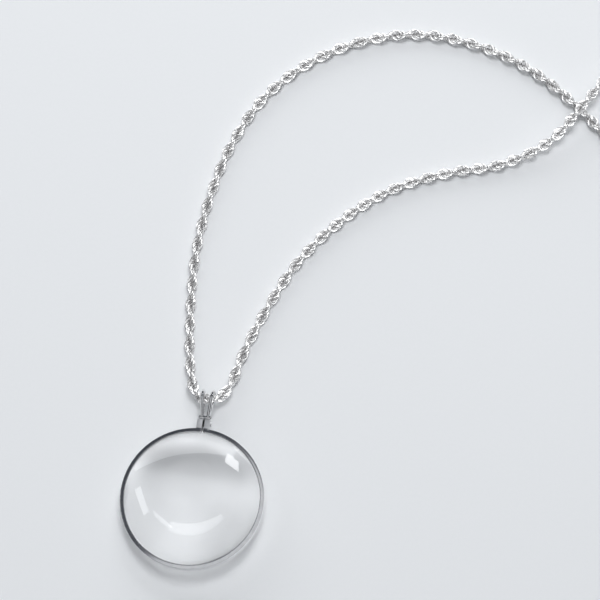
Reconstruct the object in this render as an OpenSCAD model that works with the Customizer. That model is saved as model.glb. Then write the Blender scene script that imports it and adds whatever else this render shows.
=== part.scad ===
// Magnifier pendant on a rope chain, lying on a flat surface.
// Millimetres, +Z up, surface at z = 0, origin under the middle of the whole piece.

/* [Rim] */
// Outer diameter of the rim
rim_d = 46; // [45.8:0.1:46.2]
// Height of the rim along the lens axis
rim_h = 3; // [2.9:0.1:3.2]
// Diameter of the opening inside the lips
lip_d = 43.5; // [43.2:0.1:43.6]
// Edge broken off all round the rim
rim_edge = 0.2; // [0.1:0.05:0.25]
// Space between the two ends of the split rim
slit_w = 0.6; // [0.6:0.05:0.75]

/* [Lens] */
// Diameter of the lens
lens_d = 44.4; // [44.2:0.1:44.4]
// Thickness of the lens at its edge
lens_edge = 1.6; // [1.4:0.1:1.6]
// Radius of both domed faces
dome_r = 52; // [51.5:0.5:52.5]

/* [Lug and screw] */
// Width of both lug halves together
lug_w = 4.3; // [4.2:0.1:4.6]
// Distance that the lug stands out of the rim
lug_out = 3.1; // [3:0.05:3.15]
// Height of the lug along the lens axis
lug_h = 2.8; // [2.6:0.1:2.8]
// Diameter of the screw's shank
screw_d = 1.2; // [1.1:0.05:1.2]
// Diameter of the screw's head
head_d = 1.8; // [1.7:0.1:1.9]

/* [Bail] */
// Diameter of the bail's wire
wire_d = 1.15; // [1.1:0.05:1.2]
// Inner radius of the round end of each ear
eye_r = 2.15; // [2.1:0.05:2.2]
// Distance from the lens axis to the middle of the ears' round ends
eye_at = 33.3; // [33.2:0.1:33.4]
// Space between the middles of the two ears at the crossbar
ear_gap = 1.9; // [1.7:0.1:2.1]
// Angle by which each ear leans outward
ear_lean = 4.8; // [4:0.2:5]
// Thickness of the tab between the lug halves
tab_t = 0.36; // [0.3:0.02:0.36]

/* [Chain and clasp] */
// Diameter of the rope chain
chain_d = 3.6; // [3.4:0.1:3.6]
// Length of each end cap
cap_len = 6.6; // [6:0.2:7]
// Diameter of the clasp's ring at its centre line
clasp_d = 6.2; // [6.2:0.1:6.4]
// Diameter of the clasp's wire
clasp_wire_d = 1.3; // [1.2:0.1:1.3]

/* [How it lies] */
// Direction of the lug, counted from +X
lug_turn = 82.5; // [82.3:0.1:82.7]
// Lean of the lens towards -X
lean_left = 3.6; // [3.4:0.1:3.8]
// Lean of the lens towards +Y
lean_back = 3.5; // [3.3:0.1:3.6]

/* [Hidden] */
$fn = 96;
fit = 0.12;                 // small gap between two pieces
rim_r = rim_d / 2;
lip_r = lip_d / 2;
groove_r = lens_d / 2 + fit;
dome_room = 0.62;           // room for both domes between the groove and its lips
groove_h = lens_edge + dome_room;
lip_edge = 0.1;             // edge broken off at the lips
lens_r = lens_d / 2;
dome_rise = dome_r - sqrt(dome_r * dome_r - lens_r * lens_r);
lens_t = lens_edge + 2 * dome_rise;

lug_end = rim_r + lug_out;
lug_bite = 0.4;             // depth of the lug's root in the rim's wall
lug_root = rim_r - lug_bite;
lug_corner = 0.3;
screw_at = 24.9;            // distance of the screw from the lens axis
hole_r = screw_d / 2 + fit;
head_len = 0.5;
head_sink = 0.25;           // depth of the head's seat in the lug
slot_w = 0.28;              // screwdriver slot in the head
slot_depth = 0.2;
past = 1;                   // reach of a cutting shape beyond the metal

bar_d = 1.4;                // crossbar that carries both ears
bar_at = lug_end + 2 * fit + bar_d / 2;
bar_half = 1.6;
tab_r = 0.95;               // round end of the tab
tab_h = 2 * tab_r;
ring_r = eye_r + wire_d / 2;
leg_span = eye_at - bar_at;
leg_angle = asin(ring_r / leg_span);
leg_len = leg_span * cos(leg_angle);

// Where the lower dome touches the surface
touch = [-119.2, -81.8, 0];
// Moves the whole piece so that its middle is over the origin
home = [-1.3, -0.2, 0];

// Middle of the bail, where both halves of the chain meet, and the chain's way there
bail_way = [-0.996, 0.087, 0];
// Chain's centre line, from the bail to its end in the cap
route_left = [
    [-112, -51.5, 4.3], [-114.6, -51.1, 4.1], [-116.4, -48.4, 3.5], [-117.3, -44.3, 2.7],
    [-118, -36, 1.8], [-118, -20, 1.8], [-116.5, -0.5, 1.8], [-112, 19, 1.8],
    [-105, 37.5, 1.8], [-94, 54.5, 1.8], [-79, 67, 1.8], [-60.5, 75, 1.8],
    [-41, 77.5, 1.8], [-21.5, 73.5, 1.8], [-3.5, 64.5, 1.8], [11, 52, 1.8],
    [24.5, 36.5, 1.8], [39, 20.5, 1.8], [56, 6.5, 1.8], [77, -1, 1.8],
    [98.5, 0.5, 1.8], [117.5, 10, 1.8], [131, 26, 1.8], [136.6, 35, 2.1],
    [138, 40.5, 2.4], [138, 46, 2.4]];
route_right = [
    [-112, -51.5, 4.3], [-109, -51.7, 4.3], [-106.6, -49.7, 3.8], [-104.3, -45.8, 2.9],
    [-101.5, -38, 1.8], [-93, -20.5, 1.8], [-82.5, -4, 1.8], [-68.5, 10, 1.8],
    [-51.5, 21, 1.8], [-32.5, 27, 1.8], [-13, 30.5, 2], [3, 38.5, 4],
    [13, 49.5, 5.8], [26, 66, 3.8], [41, 85.5, 1.8], [56.5, 99, 1.8],
    [76, 106, 1.8], [97, 104.5, 1.8], [115.5, 96, 1.8], [129.5, 81, 1.8],
    [136.6, 70, 2.1], [138, 64.5, 2.4], [138, 59, 2.4]];
tube_sides = 8;
long_step = 13.5;           // a longer step gets one more section in its middle

clasp_at = [138, 52.5, 2.4];
cap_start = 4.8;            // distance of a cap's closed end from the clasp's middle
cap_wall = 0.4;
cap_room = 0.2;             // space round the chain inside a cap
cap_r = chain_d / 2 + cap_room + cap_wall;
cap_floor = 1.3;
cap_taper = 0.8;
cap_eye_at = 3.3;
cap_eye_r = 1.4;            // centre line of a cap's eye
cap_eye_wire_d = 0.8;
barrel_d = 1.7;             // thicker stretch of the clasp's ring
barrel_angle = 110;

// Length of step i of a route, and the route's direction at point i
function step_len(r, i) = norm(r[i + 1] - r[i]);
function step_way(r, i) = (r[i + 1] - r[i]) / step_len(r, i);
function way_at(r, i) =
    i == 0 ? step_way(r, 0) :
    i == len(r) - 1 ? step_way(r, i - 1) :
    (step_way(r, i) * step_len(r, i - 1) + step_way(r, i - 1) * step_len(r, i))
        / (step_len(r, i) + step_len(r, i - 1));
// Smooth curve's point halfway along step i, never sunk into the surface
function halfway(r, i) =
    let (p = (r[i] + r[i + 1]) / 2 + step_len(r, i) * (way_at(r, i) - way_at(r, i + 1)) / 8)
    [p.x, p.y, max(p.z, chain_d / 2)];
function sections(r) = [
    for (i = [0 : len(r) - 2])
        each step_len(r, i) > long_step ? [r[i], halfway(r, i)] : [r[i]],
    r[len(r) - 1]];

// Corners of one section of a tube, square to the way, one corner straight down
function unit(v) = v / norm(v);
function corners(middle, way, radius) =
    let (side = unit(cross(way, [0, 0, 1])), up = cross(side, unit(way)))
    [for (k = [0 : tube_sides - 1])
        let (a = 360 * k / tube_sides - 90)
        middle + radius * (side * cos(a) + up * sin(a))];

module tube(route, start_way, end_way, radius) {
    mids = sections(route);
    last = len(mids) - 1;
    points = [for (i = [0 : last])
        each corners(mids[i],
                     i == 0 ? start_way : i == last ? end_way : mids[i + 1] - mids[i - 1],
                     radius)];
    walls = [for (i = [0 : last - 1], k = [0 : tube_sides - 1])
        let (a = i * tube_sides + k, b = i * tube_sides + (k + 1) % tube_sides)
        each [[a, b, b + tube_sides], [a, b + tube_sides, a + tube_sides]]];
    first_end = [for (k = [tube_sides - 1 : -1 : 0]) k];
    last_end = [for (k = [0 : tube_sides - 1]) last * tube_sides + k];
    polyhedron(points, concat([first_end], walls, [last_end]));
}

// Puts the flat-built pendant, lug towards +Y, where it lies on its lower dome
module lying() {
    translate(home + touch + [0, 0, dome_r])
        rotate([-lean_back, -lean_left, 0])
            translate([0, 0, lens_t / 2 - dome_r])
                rotate([0, 0, lug_turn - 90]) children();
}

module lens() {
    color([0.85, 0.9, 0.93, 0.4]) lying() intersection() {
        cylinder(r = lens_r, h = lens_t, center = true);
        translate([0, 0, dome_r - lens_t / 2]) sphere(r = dome_r);
        translate([0, 0, lens_t / 2 - dome_r]) sphere(r = dome_r);
    }
}

module rim_band() {
    top = rim_h / 2;
    half_groove = groove_h / 2;
    rotate_extrude() polygon([
        [groove_r, -half_groove], [lip_r, -half_groove], [lip_r, -top + lip_edge],
        [lip_r + lip_edge, -top], [rim_r - rim_edge, -top], [rim_r, -top + rim_edge],
        [rim_r, top - rim_edge], [rim_r - rim_edge, top], [lip_r + lip_edge, top],
        [lip_r, top - lip_edge], [lip_r, half_groove], [groove_r, half_groove]]);
}

module lug_block() {
    w = lug_w / 2;
    translate([0, 0, -lug_h / 2]) linear_extrude(height = lug_h) polygon([
        [-w, lug_root], [w, lug_root], [w, lug_end - lug_corner], [w - lug_corner, lug_end],
        [-w + lug_corner, lug_end], [-w, lug_end - lug_corner]]);
}

module across(x0, x1, r) {
    translate([x0, screw_at, 0]) rotate([0, 90, 0]) cylinder(r = r, h = x1 - x0);
}

module rim() {
    color([0.78, 0.78, 0.8]) lying() difference() {
        union() {
            rim_band();
            lug_block();
        }
        translate([-slit_w / 2, lip_r - past, -rim_h])
            cube([slit_w, lug_end - lip_r + 2 * past, 2 * rim_h]);
        across(-lug_w, lug_w, hole_r);
        across(lug_w / 2 - head_sink, lug_w, head_d / 2 + fit);
    }
}

module lug_screw() {
    head_x = lug_w / 2 - head_sink + fit;
    color([0.7, 0.7, 0.72]) lying() difference() {
        union() {
            across(-lug_w / 2 + fit, head_x + head_len / 2, screw_d / 2);
            across(head_x, head_x + head_len, head_d / 2);
        }
        translate([head_x + head_len - slot_depth, screw_at - head_d, -slot_w / 2])
            cube([slot_depth + past, 2 * head_d, slot_w]);
    }
}

// One wire ear in the plane x = 0, its foot on the crossbar
module ear() {
    sweep = 180 + 2 * leg_angle;
    translate([0, leg_span, 0]) rotate([0, 90, 0]) rotate([0, 0, 90 - sweep / 2])
        rotate_extrude(angle = sweep) translate([ring_r, 0]) circle(d = wire_d);
    for (s = [-1, 1])
        rotate([-90 + s * leg_angle, 0, 0]) cylinder(d = wire_d, h = leg_len);
}

module bail() {
    color([0.75, 0.75, 0.77]) lying() difference() {
        union() {
            for (s = [-1, 1])
                translate([s * ear_gap / 2, bar_at, 0]) rotate([0, 0, -s * ear_lean]) ear();
            translate([-bar_half, bar_at, 0]) rotate([0, 90, 0])
                cylinder(d = bar_d, h = 2 * bar_half);
            for (s = [-1, 1])
                translate([s * bar_half, bar_at, 0]) sphere(d = bar_d);
            translate([-tab_t / 2, screw_at, -tab_h / 2])
                cube([tab_t, bar_at - screw_at, tab_h]);
            across(-tab_t / 2, tab_t / 2, tab_r);
        }
        across(-tab_t, tab_t, hole_r);
    }
}

module chain_left() {
    color([0.82, 0.82, 0.84]) translate(home)
        tube(route_left, bail_way, [0, 1, 0], chain_d / 2);
}

module chain_right() {
    color([0.82, 0.82, 0.84]) translate(home)
        tube(route_right, -bail_way, [0, -1, 0], chain_d / 2);
}

// Cup with an eye, along +Y from the clasp
module end_cap() {
    difference() {
        rotate([-90, 0, 0]) union() {
            translate([0, 0, cap_start + cap_taper]) cylinder(r = cap_r, h = cap_len - cap_taper);
            translate([0, 0, cap_start])
                cylinder(r1 = cap_r - cap_taper, r2 = cap_r, h = cap_taper);
        }
        translate([0, cap_start + cap_floor, 0]) rotate([-90, 0, 0])
            cylinder(r = cap_r - cap_wall, h = cap_len);
    }
    translate([0, cap_eye_at, 0]) rotate([0, 90, 0])
        rotate_extrude() translate([cap_eye_r, 0]) circle(d = cap_eye_wire_d);
}

module end_cap_left() {
    color([0.75, 0.75, 0.77]) translate(home + clasp_at) rotate([0, 0, 180]) end_cap();
}

module end_cap_right() {
    color([0.75, 0.75, 0.77]) translate(home + clasp_at) end_cap();
}

module clasp() {
    color([0.72, 0.72, 0.74]) translate(home + clasp_at) {
        rotate_extrude() translate([clasp_d / 2, 0]) circle(d = clasp_wire_d);
        rotate([0, 0, -barrel_angle / 2]) rotate_extrude(angle = barrel_angle)
            translate([clasp_d / 2, 0]) circle(d = barrel_d);
    }
}

lens();
rim();
lug_screw();
bail();
chain_left();
chain_right();
end_cap_left();
end_cap_right();
clasp();
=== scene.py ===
import math

import bmesh
import bpy
import numpy as np
from mathutils import Matrix, Vector


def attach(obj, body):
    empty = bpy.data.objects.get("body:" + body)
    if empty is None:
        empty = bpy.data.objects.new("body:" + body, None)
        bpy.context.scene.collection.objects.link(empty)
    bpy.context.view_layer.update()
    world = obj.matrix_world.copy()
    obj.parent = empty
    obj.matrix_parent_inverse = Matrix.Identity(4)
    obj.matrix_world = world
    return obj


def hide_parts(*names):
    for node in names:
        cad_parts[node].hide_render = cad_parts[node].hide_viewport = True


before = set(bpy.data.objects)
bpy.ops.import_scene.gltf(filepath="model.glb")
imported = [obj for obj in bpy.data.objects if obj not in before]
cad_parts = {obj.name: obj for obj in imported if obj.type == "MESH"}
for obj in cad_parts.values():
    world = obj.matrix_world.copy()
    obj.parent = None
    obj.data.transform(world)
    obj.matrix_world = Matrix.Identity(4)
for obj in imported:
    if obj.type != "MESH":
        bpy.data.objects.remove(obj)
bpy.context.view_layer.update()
mm = 0.001
slack = 0.01 * mm                       # how far a corner may be off the place it is looked for
weld = 0.001 * mm                       # corners closer than this become one
print("frame loaded:", ", ".join(sorted(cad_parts)))


# Small tools for modelling with operators

def alone(piece):                       # makes a piece the only selected one
    bpy.ops.object.select_all(action="DESELECT")
    piece.select_set(True)
    bpy.context.view_layer.objects.active = piece


def fresh(name):                        # names the primitive just added, its place goes into its mesh
    piece = bpy.context.object
    piece.name = piece.data.name = name
    bpy.ops.object.transform_apply(location=True, rotation=True, scale=True)
    return piece


def edit(piece):                        # opens a piece in edit mode, selected all over
    alone(piece)
    bpy.ops.object.mode_set(mode="EDIT")
    bpy.ops.mesh.select_mode(type="VERT")
    bpy.ops.mesh.select_all(action="SELECT")


def leave():                            # back to object mode
    bpy.ops.object.mode_set(mode="OBJECT")


def pick(piece, kind, test):            # in edit mode, selects what passes the test
    bpy.ops.mesh.select_mode(type=kind)
    bpy.ops.mesh.select_all(action="DESELECT")
    shape = bmesh.from_edit_mesh(piece.data)
    for part in {"VERT": shape.verts, "EDGE": shape.edges}[kind]:
        if test(part):
            part.select_set(True)
    shape.select_flush_mode()
    bmesh.update_edit_mesh(piece.data)


def closeEnds(piece):                   # in edit mode, fills the holes
    pick(piece, "EDGE", lambda e: e.is_boundary)
    bpy.ops.mesh.fill_holes(sides=0)


def leaveOutward():                     # turns all faces outwards and leaves edit mode
    bpy.ops.mesh.select_all(action="SELECT")
    bpy.ops.mesh.normals_make_consistent(inside=False)
    leave()


def applied(piece, kind, **settings):   # adds a modifier and applies it
    alone(piece)
    change = piece.modifiers.new(kind.lower(), kind)
    for key, value in settings.items():
        setattr(change, key, value)
    bpy.ops.object.modifier_apply(modifier=change.name)


def combine(piece, tool, operation):    # adds the tool to the piece or cuts it out
    applied(piece, "BOOLEAN", operation=operation, solver="EXACT", object=tool)
    bpy.data.objects.remove(tool)


def smooth(piece, degrees=30):
    alone(piece)
    bpy.ops.object.shade_smooth_by_angle(angle=math.radians(degrees))


def put(piece, matrix):                 # moves a piece, the move goes into its mesh
    alone(piece)
    piece.matrix_world = matrix
    bpy.ops.object.transform_apply(location=True, rotation=True, scale=True)


def turned(name, profile, sides, closed=True):     # a circle drawn through (radius, height) pairs round Z
    radius, height = profile[0]
    bpy.ops.mesh.primitive_circle_add(vertices=sides, radius=radius * mm, location=(0, 0, height * mm))
    piece = fresh(name)
    edit(piece)
    for nextRadius, nextHeight in profile[1:] + (profile[:1] if closed else []):
        rise = (0, 0, (nextHeight - height) * mm)
        bpy.ops.mesh.extrude_edges_move(TRANSFORM_OT_translate={"value": rise})
        grow = nextRadius / radius
        bpy.ops.transform.resize(value=(grow, grow, 1), center_override=(0, 0, 0))
        radius, height = nextRadius, nextHeight
    bpy.ops.mesh.select_all(action="SELECT")
    bpy.ops.mesh.remove_doubles(threshold=weld)
    if not closed:
        closeEnds(piece)
    leaveOutward()
    return piece


def roundEdges(piece, test, width, segments):      # bevels the edges that pass the test
    edit(piece)
    pick(piece, "EDGE", test)
    bpy.ops.mesh.bevel(offset=width * mm, segments=segments, profile=0.5, affect="EDGES")
    leave()


def ringTest(*rings):                   # edges that run round Z at one of the (radius, height) pairs
    def test(edge):
        return any(all(abs(v.co.xy.length - radius * mm) < slack and abs(v.co.z - height * mm) < slack
                       for v in edge.verts) for radius, height in rings)
    return test


def boxed(name, low, high):             # a box between two corners in millimetres
    middle = [(a + b) / 2 * mm for a, b in zip(low, high)]
    size = [(b - a) * mm for a, b in zip(low, high)]
    bpy.ops.mesh.primitive_cube_add(size=1, location=middle, scale=size)
    return fresh(name)


def rod(name, x0, x1, y, radius, sides=64):        # a cylinder along X
    bpy.ops.mesh.primitive_cylinder_add(vertices=sides, radius=radius * mm, depth=(x1 - x0) * mm,
                                        location=((x0 + x1) / 2 * mm, y * mm, 0),
                                        rotation=(0, math.pi / 2, 0))
    return fresh(name)


# Shader sums written as expressions

class Signal:
    def __init__(self, tree, socket=None):
        self.tree, self.socket = tree, socket

    def make(self, kind, settings=None, inputs=None, output=0):
        node = self.tree.nodes.new("ShaderNode" + kind)
        for key, value in (settings or {}).items():
            setattr(node, key, value)
        for key, value in (inputs or {}).items():
            if isinstance(value, Signal):
                self.tree.links.new(value.socket, node.inputs[key])
            else:
                node.inputs[key].default_value = value
        return Signal(self.tree, node.outputs[output])

    def math(self, operation, first, second=0):
        return self.make("Math", {"operation": operation}, {0: first, 1: second})

    def __add__(self, other):
        return self.math("ADD", self, other)

    def __sub__(self, other):
        return self.math("SUBTRACT", self, other)

    def __rsub__(self, other):
        return self.math("SUBTRACT", other, self)

    def __mul__(self, other):
        return self.math("MULTIPLY", self, other)

    def __abs__(self):
        return self.math("ABSOLUTE", self)

    __radd__, __rmul__ = __add__, __mul__

    def root(self):
        return self.math("SQRT", self)

    def between(self, low, high):       # 0 below low, 1 above high, soft in between
        return self.make("MapRange", {"interpolation_type": "SMOOTHSTEP"},
                         {"Value": self, "From Min": low, "From Max": high})

    def past(self, places):             # the same between two places in millimetres
        return self.between(places[0] * mm, places[1] * mm)

    def blend(self, first, second):     # the first colour at 0, the second at 1
        return self.make("Mix", {"data_type": "RGBA"}, {"Factor": self, 6: first, 7: second}, 2)

    def parts(self):                    # a vector's x, y and z
        split = self.make("SeparateXYZ", {}, {"Vector": self})
        return [Signal(self.tree, out) for out in split.socket.node.outputs]


def material(name):
    made = bpy.data.materials.new(name)
    made.use_nodes = True
    made.node_tree.nodes.clear()
    return made, Signal(made.node_tree)


def surface(start, shader, kind="OutputMaterial"):
    end = start.tree.nodes.new("ShaderNode" + kind)
    start.tree.links.new(shader.socket, end.inputs["Surface"])


# How the pendant lies, in millimetres as in the source: "touch" is the point on which its dome rests,
# and "home" brings the middle of the whole necklace to the origin

pose = {"touch": (-119.2, -81.8, 0), "home": (-1.3, -0.2, 0), "lugTurn": 82.5, "leanLeft": 3.6,
        "leanBack": 3.5}
lensSize = {"diameter": 44.4, "edge": 1.6, "dome": 52, "chamfer": 0.12, "chamferSteps": 2,
            "around": 160, "rings": 180}

lensRadius = lensSize["diameter"] / 2
domeRise = lensSize["dome"] - math.sqrt(lensSize["dome"] ** 2 - lensRadius ** 2)
lensThick = lensSize["edge"] + 2 * domeRise
home = Vector(pose["home"]) * mm
lying = (Matrix.Translation(home + Vector(pose["touch"]) * mm + Vector((0, 0, lensSize["dome"] * mm)))
         @ Matrix.Rotation(math.radians(-pose["leanLeft"]), 4, "Y")
         @ Matrix.Rotation(math.radians(-pose["leanBack"]), 4, "X")
         @ Matrix.Translation((0, 0, (lensThick / 2 - lensSize["dome"]) * mm))
         @ Matrix.Rotation(math.radians(pose["lugTurn"] - 90), 4, "Z"))

# Camera

camera = {"place": (-83.3, -204.9, 633.8), "tilt": 16.5, "lens": 120, "sensor": 36, "clip": (0.02, 20)}
lensData = bpy.data.cameras.new("camera")
lensData.lens, lensData.sensor_width = camera["lens"], camera["sensor"]
lensData.clip_start, lensData.clip_end = camera["clip"]
eye = bpy.data.objects.new("camera", lensData)
eye.location = Vector(camera["place"]) * mm
eye.rotation_euler = (math.radians(camera["tilt"]), 0, 0)
bpy.context.scene.collection.objects.link(eye)
bpy.context.scene.camera = eye
bpy.context.scene.view_settings.view_transform = "Standard"
alone(eye)                              # the frame's nodes were left selected

# Lens: the cap of a ball and half its edge, mirrored

bpy.ops.mesh.primitive_uv_sphere_add(segments=lensSize["around"], ring_count=lensSize["rings"],
                                     radius=lensSize["dome"] * mm,
                                     location=(0, 0, (lensThick / 2 - lensSize["dome"]) * mm))
lens = fresh("lens_glass")
halfEdge = lensSize["edge"] / 2
edit(lens)
bpy.ops.mesh.bisect(plane_co=(0, 0, halfEdge * mm), plane_no=(0, 0, 1), clear_inner=True)
pick(lens, "EDGE", lambda e: e.is_boundary)
bpy.ops.mesh.extrude_edges_move(TRANSFORM_OT_translate={"value": (0, 0, -halfEdge * mm)})
leave()
applied(lens, "MIRROR", use_axis=(False, False, True), use_clip=True, merge_threshold=weld)
roundEdges(lens, ringTest((lensRadius, halfEdge), (lensRadius, -halfEdge)),
           lensSize["chamfer"], lensSize["chamferSteps"])
smooth(lens)
put(lens, lying)
print("lens made:", len(lens.data.polygons), "faces")

# Rim with its lug, the slit through both, the screw's hole and the seat of its head

rimSize = {"diameter": 46, "height": 3, "lip": 43.5, "groove": 44.64, "grooveHeight": 2.22, "sides": 192,
           "edge": 0.04, "lipRound": 0.12, "lipStep": 15, "fall": 0.17, "fallPower": 1.6, "fallSteps": 8,
           "lugWidth": 4.3, "lugEnd": 26.1, "lugHeight": 2.8, "lugRoot": 22.6, "lugCorner": 0.35,
           "lugRound": 0.16, "lugSteps": 4, "slit": 0.6, "slitPast": 1, "slitReach": 4, "slitRound": 0.06,
           "slitSteps": 2, "screwAt": 24.9, "holeRadius": 0.72, "holeReach": 5, "holeClear": 0.9,
           "seat": 0.25, "seatRadius": 1.02, "smooth": 27}

outer, lip, groove = rimSize["diameter"] / 2, rimSize["lip"] / 2, rimSize["groove"] / 2
top, ledge = rimSize["height"] / 2, rimSize["grooveHeight"] / 2
soft, edge = rimSize["lipRound"], rimSize["edge"]
over = []                               # from the lip to the outer wall, falling outward more and more
for angle in range(180, 90, -rimSize["lipStep"]):
    over.append((lip + soft + soft * math.cos(math.radians(angle)),
                 top - soft + soft * math.sin(math.radians(angle))))
for k in range(rimSize["fallSteps"] + 1):
    share = k / rimSize["fallSteps"]
    over.append((lip + soft + (outer - edge - lip - soft) * share,
                 top - rimSize["fall"] * share ** rimSize["fallPower"]))
over.append((outer, top - rimSize["fall"] - edge))
under = [(radius, -height) for radius, height in over]
rim = turned("rim_band", [(groove, -ledge), (lip, -ledge)] + under + over[::-1]
             + [(lip, ledge), (groove, ledge)], rimSize["sides"])

halfLug, lugEnd, lugRise = rimSize["lugWidth"] / 2, rimSize["lugEnd"], rimSize["lugHeight"] / 2
halfSlit, screwAt = rimSize["slit"] / 2, rimSize["screwAt"]


def apart(e, axis):                     # how far an edge's ends lie apart along an axis
    return abs(e.verts[0].co[axis] - e.verts[1].co[axis])


def lugCorners(e):                      # the lug's two upright edges at its end
    return apart(e, 2) > mm and all(v.co.y > lugEnd * mm - slack for v in e.verts)


def lugOutline(e):                      # round its top and bottom, but not at its root
    return (apart(e, 2) < slack and all(v.co.y > rimSize["lugRoot"] * mm + slack for v in e.verts)
            or apart(e, 1) > mm)


def slitEdges(e):                       # sharp edges of the slit, but not round the screw's hole
    hole = Vector((screwAt * mm, 0))
    return (all(abs(abs(v.co.x) - halfSlit * mm) < slack and v.co.y > 0 for v in e.verts)
            and e.calc_length() > slack and len(e.link_faces) == 2 and e.calc_face_angle(0) > 1
            and all((v.co.yz - hole).length > rimSize["holeClear"] * mm for v in e.verts))


lug = boxed("lug", (-halfLug, rimSize["lugRoot"], -lugRise), (halfLug, lugEnd, lugRise))
roundEdges(lug, lugCorners, rimSize["lugCorner"], rimSize["lugSteps"])
roundEdges(lug, lugOutline, rimSize["lugRound"], rimSize["lugSteps"])
combine(rim, lug, "UNION")
past, reach = rimSize["slitPast"], rimSize["slitReach"]
combine(rim, boxed("slit", (-halfSlit, lip - past, -reach), (halfSlit, lugEnd + past, reach)), "DIFFERENCE")
reach = rimSize["holeReach"]
combine(rim, rod("hole", -reach, reach, screwAt, rimSize["holeRadius"]), "DIFFERENCE")
combine(rim, rod("seat", halfLug - rimSize["seat"], reach, screwAt, rimSize["seatRadius"]), "DIFFERENCE")
roundEdges(rim, slitEdges, rimSize["slitRound"], rimSize["slitSteps"])
smooth(rim, rimSize["smooth"])
put(rim, lying)
print("rim made:", len(rim.data.polygons), "faces")

# Screw that closes the rim, made upright

screwSize = {"from": -2.03, "headAt": 2.02, "headLength": 0.5, "headRadius": 0.9, "shank": 0.6, "sides": 64,
             "slot": 0.28, "slotDepth": 0.2, "slotReach": 2, "slotPast": 1, "round": 0.12, "roundSteps": 3}

shank, headRadius, headAt = screwSize["shank"], screwSize["headRadius"], screwSize["headAt"]
headEnd, halfSlot = headAt + screwSize["headLength"], screwSize["slot"] / 2
screw = turned("lug_screw_steel", [(shank, screwSize["from"]), (shank, headAt), (headRadius, headAt),
                                   (headRadius, headEnd)], screwSize["sides"], closed=False)
roundEdges(screw, ringTest((headRadius, headEnd)), screwSize["round"], screwSize["roundSteps"])
reach, past = screwSize["slotReach"], screwSize["slotPast"]
combine(screw, boxed("screw_slot", (-reach, -halfSlot, headEnd - screwSize["slotDepth"]),
                     (reach, halfSlot, headEnd + past)), "DIFFERENCE")
smooth(screw)
put(screw, lying @ Matrix.Translation((0, screwAt * mm, 0)) @ Matrix.Rotation(math.pi / 2, 4, "Y"))
print("screw made")

# Bail of bent wire: two ears on a crossbar with a tab

bailSize = {"wire": 1.15, "eyeRadius": 2.725, "eyeAt": 33.3, "barAt": 27.04, "barWidth": 1.4, "barHalf": 1.6,
            "earGap": 1.9, "earLean": 4.8, "tab": 0.36, "tabRadius": 0.95, "holeReach": 2,
            "sides": 20, "bend": 36, "barSides": 32, "barRings": 24, "voxel": 0.055,
            "soften": 0.5, "softenTimes": 5, "smooth": 60}

span = bailSize["eyeAt"] - bailSize["barAt"]
legAngle = math.asin(bailSize["eyeRadius"] / span)
legLength = span * math.cos(legAngle)


def makeEar(name):                      # in the plane x = 0, its foot at the origin
    up = Vector((0, math.cos(legAngle), math.sin(legAngle))) * legLength * mm
    down = Vector((0, -math.cos(legAngle), math.sin(legAngle))) * legLength * mm
    bpy.ops.mesh.primitive_circle_add(vertices=bailSize["sides"], radius=bailSize["wire"] / 2 * mm,
                                      rotation=(legAngle - math.pi / 2, 0, 0))
    ear = fresh(name)
    edit(ear)
    bpy.ops.mesh.extrude_edges_move(TRANSFORM_OT_translate={"value": up})
    bpy.ops.mesh.spin(steps=bailSize["bend"], angle=math.pi + 2 * legAngle,
                      center=(0, span * mm, 0), axis=(1, 0, 0))
    bpy.ops.mesh.extrude_edges_move(TRANSFORM_OT_translate={"value": down})
    closeEnds(ear)
    leaveOutward()
    return ear


bpy.ops.mesh.primitive_uv_sphere_add(segments=bailSize["barSides"], ring_count=bailSize["barRings"],
                                     radius=bailSize["barWidth"] / 2 * mm, rotation=(0, math.pi / 2, 0))
bail = fresh("bail_wire")
edit(bail)
for side in (-1, 1):                    # each half of the ball moves out, the bar grows between them
    pick(bail, "VERT", lambda v: v.co.x * side > slack)
    bpy.ops.transform.translate(value=(side * bailSize["barHalf"] * mm, 0, 0))
leave()
put(bail, Matrix.Translation((0, bailSize["barAt"] * mm, 0)))
parts = [bail]
for side in (-1, 1):
    ear = makeEar("ear")
    put(ear, Matrix.Translation((side * bailSize["earGap"] / 2 * mm, bailSize["barAt"] * mm, 0))
        @ Matrix.Rotation(math.radians(-side * bailSize["earLean"]), 4, "Z"))
    parts.append(ear)
halfTab, tabRadius = bailSize["tab"] / 2, bailSize["tabRadius"]
parts.append(boxed("tab", (-halfTab, screwAt, -tabRadius), (halfTab, bailSize["barAt"], tabRadius)))
parts.append(rod("tab_end", -halfTab, halfTab, screwAt, tabRadius))
bpy.ops.object.select_all(action="DESELECT")
for part in parts:
    part.select_set(True)
bpy.context.view_layer.objects.active = bail
bpy.ops.object.join()
applied(bail, "REMESH", mode="VOXEL", voxel_size=bailSize["voxel"] * mm)      # solders the pieces into one
reach = bailSize["holeReach"]
combine(bail, rod("tab_hole", -reach, reach, screwAt, rimSize["holeRadius"]), "DIFFERENCE")
applied(bail, "SMOOTH", factor=bailSize["soften"], iterations=bailSize["softenTimes"])
smooth(bail, bailSize["smooth"])
put(bail, lying)
print("bail made:", len(bail.data.polygons), "faces")

# Rope chain: one link, repeated along a straight rope, then laid along its way

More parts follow.
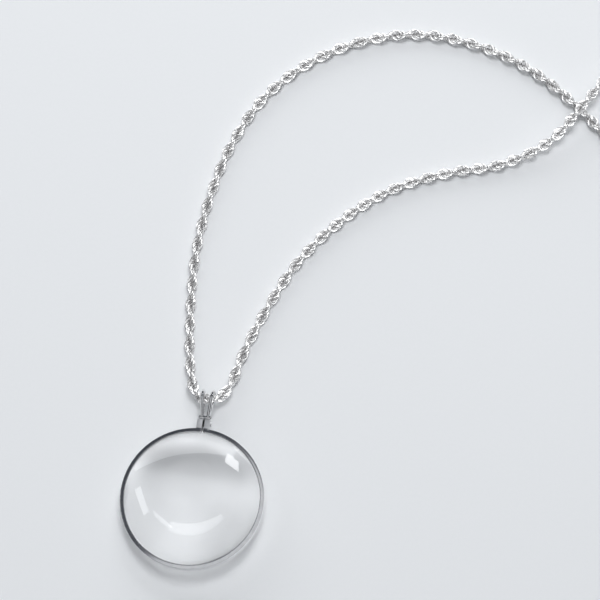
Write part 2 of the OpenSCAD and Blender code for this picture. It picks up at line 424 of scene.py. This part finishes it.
chainSize = {"tube": 3.6, "ring": 1.59, "wire": 0.38, "along": 1.0, "pitch": 0.69, "turn": 18.0,
             "tilt": (94, 287, 9), "off": -0.032, "segments": 4, "wireSteps": 1, "end": 2.0,
             "spacing": 0.7, "beyond": 3, "beyondLonger": 1.05, "smooth": 50}
halfTurns = [(-340, 6.2), (-230, 6.2), (-190, 6.4), (-130, 6.9), (-20, 7.0), (0, 7.2), (30, 7.5), (60, 6.6),
             (85, 5.9), (320, 6.0)]     # distances from the bail, and how long half a twist is there
route = [
    (138, 46, 2.4), (138, 40.5, 2.4), (136.6, 35, 2.1), (131, 26, 1.8), (117.5, 10, 1.8), (98.5, 0.5, 1.8),
    (77, -1, 1.8), (56, 6.5, 1.8), (39, 20.5, 1.8), (24.5, 36.5, 1.8), (11, 52, 1.8), (-3.5, 64.5, 1.8),
    (-21.5, 73.5, 1.8), (-41, 77.5, 1.8), (-60.5, 75, 1.8), (-79, 67, 1.8), (-94, 54.5, 1.8),
    (-105, 37.5, 1.8), (-112, 19, 1.8), (-116.5, -0.5, 1.8), (-118, -20, 1.8), (-118, -36, 1.8),
    (-117.3, -44.3, 2.7),
    (-116.4, -48.4, 3.5), (-114.6, -51.1, 4.1), (-112, -51.5, 4.3), (-109, -51.7, 4.3), (-106.6, -49.7, 3.8),
    (-104.3, -45.8, 2.9), (-101.5, -38, 1.8), (-93, -20.5, 1.8), (-82.5, -4, 1.8), (-68.5, 10, 1.8),
    (-51.5, 21, 1.8), (-32.5, 27, 1.8), (-13, 30.5, 2), (3, 38.5, 4), (13, 49.5, 5.8), (26, 66, 3.8),
    (41, 85.5, 1.8), (56.5, 99, 1.8), (76, 106, 1.8), (97, 104.5, 1.8), (115.5, 96, 1.8), (129.5, 81, 1.8),
    (136.6, 70, 2.1), (138, 64.5, 2.4), (138, 59, 2.4)]
atBail = 25                             # the route's point between the bail's ears


def smoothWay(points, spacing):         # the source's curve in close points, and where each given point is
    points = [Vector(p) for p in points]
    steps = [b - a for a, b in zip(points, points[1:])]
    ways = [steps[0].normalized()]
    for before, after in zip(steps, steps[1:]):
        a, b = before.length, after.length
        ways.append((after.normalized() * a + before.normalized() * b) / (a + b))
    ways.append(steps[-1].normalized())
    line, marks = [points[0]], [0.0]
    for i, step in enumerate(steps):
        count = max(3, round(step.length / spacing))    # at least three to a step
        walked = marks[-1]
        for k in range(1, count + 1):
            t = k / count
            p = ((2 * t ** 3 - 3 * t ** 2 + 1) * points[i] + (3 * t ** 2 - 2 * t ** 3) * points[i + 1]
                 + (t ** 3 - 2 * t ** 2 + t) * step.length * ways[i]
                 + (t ** 3 - t ** 2) * step.length * ways[i + 1])
            p.z = max(p.z, chainSize["tube"] / 2)
            walked += (p - line[-1]).length
            line.append(p)
        marks.append(walked)
    return line, marks


line, marks = smoothWay(route, chainSize["spacing"])
wayData = bpy.data.curves.new("chain_way", "CURVE")
wayData.dimensions, wayData.twist_mode = "3D", "Z_UP"
spline = wayData.splines.new("POLY")
spline.points.add(len(line) - 1)
for point, place in zip(spline.points, line):
    point.co = (*(place * mm + home), 1)
way = bpy.data.objects.new("chain_way", wayData)
bpy.context.scene.collection.objects.link(way)
print("chain's way: %.1f mm from cap to cap, the bail at %.1f" % (marks[-1], marks[atBail]))

# one link: an oval ring of round wire, placed beside the rope's axis, which is X here
bpy.ops.object.select_all(action="DESELECT")
bpy.ops.curve.primitive_bezier_circle_add(radius=chainSize["ring"] * mm)
link = bpy.context.object
link.name = "link"
bpy.ops.object.mode_set(mode="EDIT")
bpy.ops.curve.select_all(action="SELECT")
bpy.ops.transform.resize(value=(chainSize["along"], 1, 1), center_override=(0, 0, 0))
leave()
link.data.dimensions, link.data.resolution_u = "3D", chainSize["segments"]
link.data.bevel_depth, link.data.bevel_resolution = chainSize["wire"] / 2 * mm, chainSize["wireSteps"]
alone(link)
bpy.ops.object.convert(target="MESH")
link = bpy.context.object
theta, phi, spin = (math.radians(a) for a in chainSize["tilt"])
normal = Vector((math.sin(theta) * math.cos(phi), math.sin(theta) * math.sin(phi), math.cos(theta)))
level = normal.cross(Vector((0, 0, 1))).normalized()
longWay = math.cos(spin) * level + math.sin(spin) * normal.cross(level)
crossWay = normal.cross(longWay)
turnAxes = Matrix(((0, 0, 1), (1, 0, 0), (0, -1, 0)))   # the rope's axis Z becomes X, its twist left-handed
columns = [turnAxes @ v for v in (longWay, crossWay)]
columns.append(columns[0].cross(columns[1]))
centre = turnAxes @ Vector((chainSize["off"] * chainSize["ring"] * mm, 0, 0))
put(link, Matrix.Translation(centre) @ Matrix(columns).transposed().to_4x4())
linkVerts = len(link.data.vertices)

# distances along the rope at which its links sit, longer where the twist is longer
restTurn = chainSize["pitch"] * 180 / chainSize["turn"]
spots, lengths = np.array(halfTurns).T


def walk(direction, reach):             # places of the links from the bail to one end
    places, at = [], 0.0
    while at < reach - chainSize["end"]:
        places.append(direction * at)
        at += chainSize["pitch"] * np.interp(direction * at, spots, lengths) / restTurn
    return places


leftPlaces = walk(-1, marks[atBail])[1:]
rightPlaces = walk(1, marks[-1] - marks[atBail])
places = np.array(leftPlaces[::-1] + rightPlaces)
count = len(places)
turner = bpy.data.objects.new("turner", None)
turner.matrix_world = (Matrix.Translation((chainSize["pitch"] * mm, 0, 0))
                       @ Matrix.Rotation(-math.radians(180 + chainSize["turn"]), 4, "X"))
bpy.context.scene.collection.objects.link(turner)
bpy.context.view_layer.update()
applied(link, "ARRAY", count=count, use_relative_offset=False, use_object_offset=True, offset_object=turner)
bpy.data.objects.remove(turner)

rope = link
rope.name = rope.data.name = "rope_chain_left"
mesh = rope.data
corners = np.empty(len(mesh.vertices) * 3, np.float32)
mesh.vertices.foreach_get("co", corners)
corners = corners.reshape(-1, 3).astype(float)
outward = np.hypot(corners[:, 1], corners[:, 2]) / (chainSize["tube"] / 2 * mm)
# how deep each corner lies in the rope, which sets the chain's painted shade
depth = mesh.attributes.new("depth", "FLOAT", "POINT")          # 0 at the rope's axis, 1 at its outside
depth.data.foreach_set("value", np.clip(outward, 0, 1).astype(np.float32))

# each link goes from its even spot to its place, and a little way past both ends goes with them
evenSpots = np.arange(count) * chainSize["pitch"]
beyond = chainSize["beyond"] * chainSize["pitch"]
laidBeyond = beyond * chainSize["beyondLonger"]
grid = np.concatenate([[-beyond], evenSpots, [evenSpots[-1] + beyond]])
laid = np.concatenate([[places[0] - laidBeyond], places, [places[-1] + laidBeyond]]) + marks[atBail]
corners[:, 0] = np.interp(corners[:, 0] / mm, grid, laid) * mm
mesh.vertices.foreach_set("co", corners.astype(np.float32).ravel())
isRight = np.repeat(np.arange(count) >= len(leftPlaces), linkVerts)
mesh.vertices.foreach_set("select", isRight)
for kind in (mesh.edges, mesh.polygons):
    kind.foreach_set("select", np.zeros(len(kind), bool))
mesh.update()
alone(rope)
bpy.ops.object.mode_set(mode="EDIT")
bpy.ops.mesh.select_mode(type="VERT")
bpy.ops.mesh.separate(type="SELECTED")
leave()
ropeRight = next(o for o in bpy.context.selected_objects if o != rope)
ropeRight.name = ropeRight.data.name = "rope_chain_right"
for piece in (rope, ropeRight):
    applied(piece, "CURVE", object=way, deform_axis="POS_X")
    smooth(piece, chainSize["smooth"])
    print(piece.name, len(piece.data.vertices) // linkVerts, "links,",
          len(piece.data.polygons) * 2, "triangles")
bpy.data.objects.remove(way)

# End caps and clasp

capSize = {"start": 4.8, "length": 6.6, "wall": 0.4, "radius": 2.4, "floor": 1.3, "taper": 0.8, "sides": 96,
           "round": 0.12, "roundSteps": 3, "taperRound": 0.25, "taperSteps": 4,
           "eyeAt": 3.3, "eyeRadius": 1.4, "eyeWire": 0.8, "eyeAround": 64, "eyeSides": 24}
claspSize = {"at": (138, 52.5, 2.4), "radius": 3.1, "wire": 1.3, "around": 96, "sides": 32,
             "barrel": 1.7, "angle": 110, "barrelSteps": 40, "barrelRound": 0.15, "roundSteps": 3}
claspPlace = home + Vector(claspSize["at"]) * mm


def makeCap(name, turn):
    start, end, radius = capSize["start"], capSize["start"] + capSize["length"], capSize["radius"]
    bore, narrow, taper = radius - capSize["wall"], radius - capSize["taper"], start + capSize["taper"]
    cap = turned(name, [(narrow, start), (radius, taper), (radius, end), (bore, end),
                        (bore, start + capSize["floor"])], capSize["sides"], closed=False)
    roundEdges(cap, ringTest((radius, end), (bore, end)), capSize["round"], capSize["roundSteps"])
    roundEdges(cap, ringTest((narrow, start), (radius, taper)), capSize["taperRound"], capSize["taperSteps"])
    bpy.ops.mesh.primitive_torus_add(major_segments=capSize["eyeAround"], minor_segments=capSize["eyeSides"],
                                     major_radius=capSize["eyeRadius"] * mm,
                                     minor_radius=capSize["eyeWire"] / 2 * mm,
                                     location=(0, 0, capSize["eyeAt"] * mm), rotation=(0, math.pi / 2, 0))
    combine(cap, fresh("cap_eye"), "UNION")
    smooth(cap)
    put(cap, Matrix.Translation(claspPlace) @ Matrix.Rotation(turn, 4, "Z")
        @ Matrix.Rotation(-math.pi / 2, 4, "X"))
    return cap


capLeft = makeCap("cap_left_silver", math.pi)
capRight = makeCap("cap_right_silver", 0)
bpy.ops.mesh.primitive_torus_add(major_segments=claspSize["around"], minor_segments=claspSize["sides"],
                                 major_radius=claspSize["radius"] * mm,
                                 minor_radius=claspSize["wire"] / 2 * mm)
clasp = fresh("clasp_ring")
bpy.ops.mesh.primitive_circle_add(vertices=claspSize["sides"], radius=claspSize["barrel"] / 2 * mm,
                                  location=(claspSize["radius"] * mm, 0, 0), rotation=(math.pi / 2, 0, 0))
barrel = fresh("barrel")
edit(barrel)
barrelAngle = math.radians(claspSize["angle"])
bpy.ops.transform.rotate(value=barrelAngle / 2, orient_axis="Z", center_override=(0, 0, 0))
bpy.ops.mesh.spin(steps=claspSize["barrelSteps"], angle=barrelAngle, center=(0, 0, 0), axis=(0, 0, 1))
closeEnds(barrel)
pick(barrel, "EDGE", lambda e: any(len(f.verts) > 6 for f in e.link_faces))     # round the two end faces
bpy.ops.mesh.bevel(offset=claspSize["barrelRound"] * mm, segments=claspSize["roundSteps"], profile=0.5,
                   affect="EDGES")
leaveOutward()
middleX = sum(v.co.x for v in barrel.data.vertices)
middleY = sum(v.co.y for v in barrel.data.vertices)
put(barrel, Matrix.Rotation(-math.atan2(middleY, middleX), 4, "Z"))     # its middle on +X
combine(clasp, barrel, "UNION")
smooth(clasp)
put(clasp, Matrix.Translation(claspPlace))
print("caps and clasp made")

# Materials


def objectPlace(start):                 # where on the piece, in metres
    return start.make("TexCoord", output="Object")


def lensPlace(start):                   # x, y and z in the lens's own frame, and the distance from its axis
    place = lying.inverted()
    local = start.make("Mapping", {"vector_type": "POINT"},
                       {"Vector": objectPlace(start), "Location": place.to_translation(),
                        "Rotation": place.to_euler()})
    x, y, z = local.parts()
    return x, y, z, (x * x + y * y).root()


def noise(start, where, scale, detail, roughness):
    return start.make("TexNoise", {}, {"Vector": where, "Scale": scale, "Detail": detail,
                                       "Roughness": roughness}, "Fac")


# a noise is its scale, detail and roughness, and places are in millimetres in the lens's own frame
silverLook = {"clouds": (420.0, 4.0, 0.6), "grain": (5200.0, 3.0, 0.7), "lineGrain": (1.0, 2.0, 0.6),
              "worn": (0.35, 0.7), "wornShade": 0.9, "bumpDepth": 0.02, "bumpClouds": 0.4,
              "satinAt": (23.0, 23.2), "satinRough": 0.22, "satinDull": 0.4,
              "slitSide": (0.31, 0.37), "slitStart": (20, 21), "slitEnd": (25.9, 26.3),
              # the last two colours are painted shade: in the lug's slit, and in the rope's inside
              "slitShade": (0.08, 0.08, 0.085, 1), "ropeShade": (0.42, 0.41, 0.41, 1)}


def silver(name, tint, rough, spread, scratch, dark=None, lines=None, metal=1.0, slit=False):
    made, start = material(name)
    clouds = noise(start, objectPlace(start), *silverLook["clouds"])
    if lines or slit:
        x, y, z, radius = lensPlace(start)
    if lines:                           # fine lines round the lens's axis, and a satin lug
        across = start.make("CombineXYZ", {}, {0: radius * lines, 1: z * lines, 2: 0.0})
        grain = noise(start, across, *silverLook["lineGrain"])
        satin = y.past(silverLook["satinAt"])
        rough, metal = satin * silverLook["satinRough"] + rough, 1 - satin * silverLook["satinDull"]
    else:
        grain = noise(start, objectPlace(start), *silverLook["grain"])
    roughness = start.make("Math", {"operation": "ADD", "use_clamp": True},
                           {0: rough + (clouds - 0.5) * spread, 1: (grain - 0.5) * spread})
    worn = clouds.between(*silverLook["worn"])
    dull = [silverLook["wornShade"] * c for c in tint]
    shade = worn.blend((*dull, 1), (*tint, 1))
    if slit:                            # painted shade in the slit between the lug's halves
        inside = 1 - abs(x).past(silverLook["slitSide"])
        inside = inside * (y.past(silverLook["slitStart"]) - y.past(silverLook["slitEnd"]))
        shade = inside.blend(shade, silverLook["slitShade"])
    if dark:                            # painted shade: darker wire inside the rope than at its outside
        depth = start.make("Attribute", {"attribute_name": "depth"}, output="Fac")
        shade = (1 - depth.between(*dark)).blend(shade, silverLook["ropeShade"])
    bump = start.make("Bump", {}, {"Strength": scratch, "Distance": silverLook["bumpDepth"] * mm,
                                   "Height": grain + clouds * silverLook["bumpClouds"]})
    shader = start.make("BsdfPrincipled", {}, {"Base Color": shade, "Metallic": metal,
                                               "Roughness": roughness, "Normal": bump})
    surface(start, shader)
    return made


plate = (0.92, 0.92, 0.925)
# the rim and the bail get painted shade in the lug's slit
rimSilver = silver("rim_silver", (0.90, 0.905, 0.92), rough=0.16, spread=0.14, scratch=0.25,
                   lines=6000.0, slit=True)
bailSilver = silver("bail_silver", plate, rough=0.14, spread=0.12, scratch=0.1, slit=True)
screwSilver = silver("screw_silver", plate, rough=0.16, spread=0.12, scratch=0.1)
# the chain's wire gets painted shade inside the rope
chainSilver = silver("chain_silver", (0.96, 0.95, 0.94), rough=0.12, spread=0.12, scratch=0.1,
                     dark=(0.15, 0.55), metal=0.72)
claspSilver = silver("clasp_silver", plate, rough=0.16, spread=0.12, scratch=0.15)

glassLook = {"colour": (0.99, 0.99, 0.99, 1), "ior": 1.52, "smears": (70.0, 5.0, 0.6),
             "smearAt": (0.55, 0.8), "smearRough": 0.02, "ground": (0.997, 0.9995), "groundRough": 0.8}

glass, start = material("lens_glass")
smear = noise(start, objectPlace(start), *glassLook["smears"]).between(*glassLook["smearAt"])
x, y, z, radius = lensPlace(start)
ground = radius.past([share * lensRadius for share in glassLook["ground"]])     # its edge isn't polished
clear = start.make("BsdfPrincipled", {}, {
    "Base Color": glassLook["colour"], "IOR": glassLook["ior"], "Transmission Weight": 1.0,
    "Roughness": smear * glassLook["smearRough"] + ground * glassLook["groundRough"]})

# In the lens's shadow the light is gathered under its middle, and missing at its lug and before its front.
# An entry with a pair says between which places in the lens the light changes, and by how much.
shadow = {"middle": 0.77, "back": ((-2, 5), 0.22), "lug": ((8, 14), 0.87), "ring": ((17, 20.5), 0.55),
          "leftOn": ((-9, -4), 0.18), "sides": ((13, 16), 0.2), "right": (2, 9), "rightBack": ((0, 8), 0.6),
          "rightFront": 0.42, "lowerRing": ((18.5, 20.2), 0.95), "lowerFront": (-2, 8),
          "lowerLug": ((14, 18), 0.8), "halves": (-0.1, 0.1), "share": 0.91, "most": 1.65, "least": 0.05}


def step(signal, name):                 # 0 before the entry's places, its amount past them
    places, amount = shadow[name]
    return signal.past(places) * amount


upper = (step(y, "back") + shadow["middle"] - step(y, "lug") + step(radius, "ring") + step(x, "leftOn")
         + step(abs(x), "sides") + x.past(shadow["right"]) * (step(y, "rightBack") - shadow["rightFront"]))
lower = (1 - step(radius, "lowerRing") * (1 - y.past(shadow["lowerFront"]))) * (step(y, "lowerLug") + 1)
passed = (lower + (upper - lower) * z.past(shadow["halves"])) * shadow["share"]
most, least = shadow["most"], shadow["least"]
gathered = start.make("BsdfTransparent", {}, {"Color": (most, most, most, 1)})
missing = start.make("BsdfTransparent", {}, {"Color": (least, least, least, 1)})
darkness = (most - passed) * (1 / (most - least))
letThrough = start.make("MixShader", {}, {0: darkness, 1: gathered, 2: missing})
isShadow = start.make("LightPath", output="Is Shadow Ray")
surface(start, start.make("MixShader", {}, {0: isShadow, 1: clear, 2: letThrough}))
print("materials made")

for piece, finish, slot, nodes in [
        (lens, glass, "lens_glass", ["lens"]),
        (rim, rimSilver, "rim_silver", ["rim"]),
        (screw, screwSilver, "bail_silver", ["lug_screw"]),
        (bail, bailSilver, "bail_silver", ["bail"]),
        (rope, chainSilver, "chain_silver", ["chain_left"]),
        (ropeRight, chainSilver, "chain_silver", ["chain_right"]),
        (capLeft, claspSilver, "clasp_silver", ["end_cap_left"]),
        (capRight, claspSilver, "clasp_silver", ["end_cap_right"]),
        (clasp, claspSilver, "clasp_silver", ["clasp"])]:
    piece.data.materials.clear()
    piece.data.materials.append(finish)
    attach(piece, "root")
    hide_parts(*nodes)

# Floor and light

floorLook = {"size": 8, "fibres": (900.0, 3.0, 0.5), "dark": (0.83, 0.84, 0.85, 1),
             "light": (0.85, 0.86, 0.87, 1), "rough": 0.85, "gloss": 0.2}

bpy.ops.object.select_all(action="DESELECT")
bpy.ops.mesh.primitive_plane_add(size=floorLook["size"])
floor = fresh("floor")
paper, start = material("floor_paper")
fibre = noise(start, objectPlace(start), *floorLook["fibres"])
surface(start, start.make("BsdfPrincipled", {}, {
    "Base Color": fibre.blend(floorLook["dark"], floorLook["light"]), "Roughness": floorLook["rough"],
    "Specular IOR Level": floorLook["gloss"]}))
floor.data.materials.append(paper)

# the room is dark but for a round softbox overhead, cut off along one side, and the camera sees plain grey
studio = {"softbox": (-0.1, -0.1, 0.99), "edge": (0.75, 0.83), "right": 0.75, "back": -0.66,
          "half": (-0.32, -0.24), "dark": (0.055, 0.06, 0.07, 1), "light": (0.60, 0.61, 0.63, 1),
          "seen": (0.74, 0.75, 0.77, 1)}
world = bpy.data.worlds.new("studio")
bpy.context.scene.world = world
world.use_nodes = True
world.node_tree.nodes.clear()
start = Signal(world.node_tree)
way = start.make("TexCoord", output="Generated")
x, y = way.parts()[:2]
near = start.make("VectorMath", {"operation": "DOT_PRODUCT"}, {0: way, 1: studio["softbox"]}, "Value")
lit = (x * studio["right"] + y * studio["back"]).between(*studio["half"]) * near.between(*studio["edge"])
seen = start.make("LightPath", output="Is Camera Ray")
room = seen.blend(lit.blend(studio["dark"], studio["light"]), studio["seen"])
surface(start, start.make("Background", {}, {"Color": room, "Strength": 1.0}), "OutputWorld")

lampColour = (0.97, 0.985, 1.0)
chain = [rope, ropeRight]
panels = {                              # in metres and degrees, and "on" has the only pieces that it lights
    "back_wall": {"at": (-1.37, 3.0, 1.20), "turn": (-90, -4, 0), "size": (5.25, 2.6), "power": 126,
                  "inLens": True, "on": [lens, floor, screw, capLeft, capRight, clasp] + chain},
    "side_window": {"at": (0.77, 1.06, 0.81), "turn": (-61, 0, -38), "size": (1.0, 0.36), "power": 3.0,
                    "inLens": True, "shape": "ELLIPSE", "on": [lens]},
    "window": {"at": (0.406, 1.069, 1.14), "turn": (-4.9, 24.5, 162.3), "size": (0.327, 0.361),
               "power": 3.6},
    "strip": {"at": (-1.41, 0.354, 1.182), "turn": (35.8, 28.5, -151), "size": (0.15, 0.643),
              "power": 1.05},
    "key": {"at": (0.03, 0.46, 1.40), "turn": (-22, 0, -16), "size": (0.55, 0.55), "power": 10.2,
            "inMetal": False},
    "glint": {"at": (0.55, -0.50, 0.75), "turn": (43, 0, 48), "size": (0.7, 0.7), "power": 6.9, "on": chain},
    "veil": {"at": (-0.05, -0.35, 1.5), "turn": (13, 0, 0), "size": (1.0, 1.0), "power": 6.2, "on": chain},
}
for name, panel in panels.items():
    lamp = bpy.data.lights.new(name, "AREA")
    lamp.shape, (lamp.size, lamp.size_y) = panel.get("shape", "RECTANGLE"), panel["size"]
    lamp.energy, lamp.color = panel["power"], lampColour
    hung = bpy.data.objects.new(name, lamp)
    hung.location = panel["at"]
    hung.rotation_euler = [math.radians(a) for a in panel["turn"]]
    hung.visible_camera = False
    hung.visible_transmission = panel.get("inLens", False)
    hung.visible_glossy = panel.get("inMetal", True)
    bpy.context.scene.collection.objects.link(hung)
    if "on" in panel:
        hung.light_linking.receiver_collection = bpy.data.collections.new(name)
        for piece in panel["on"]:
            hung.light_linking.receiver_collection.objects.link(piece)
print("floor and light set")
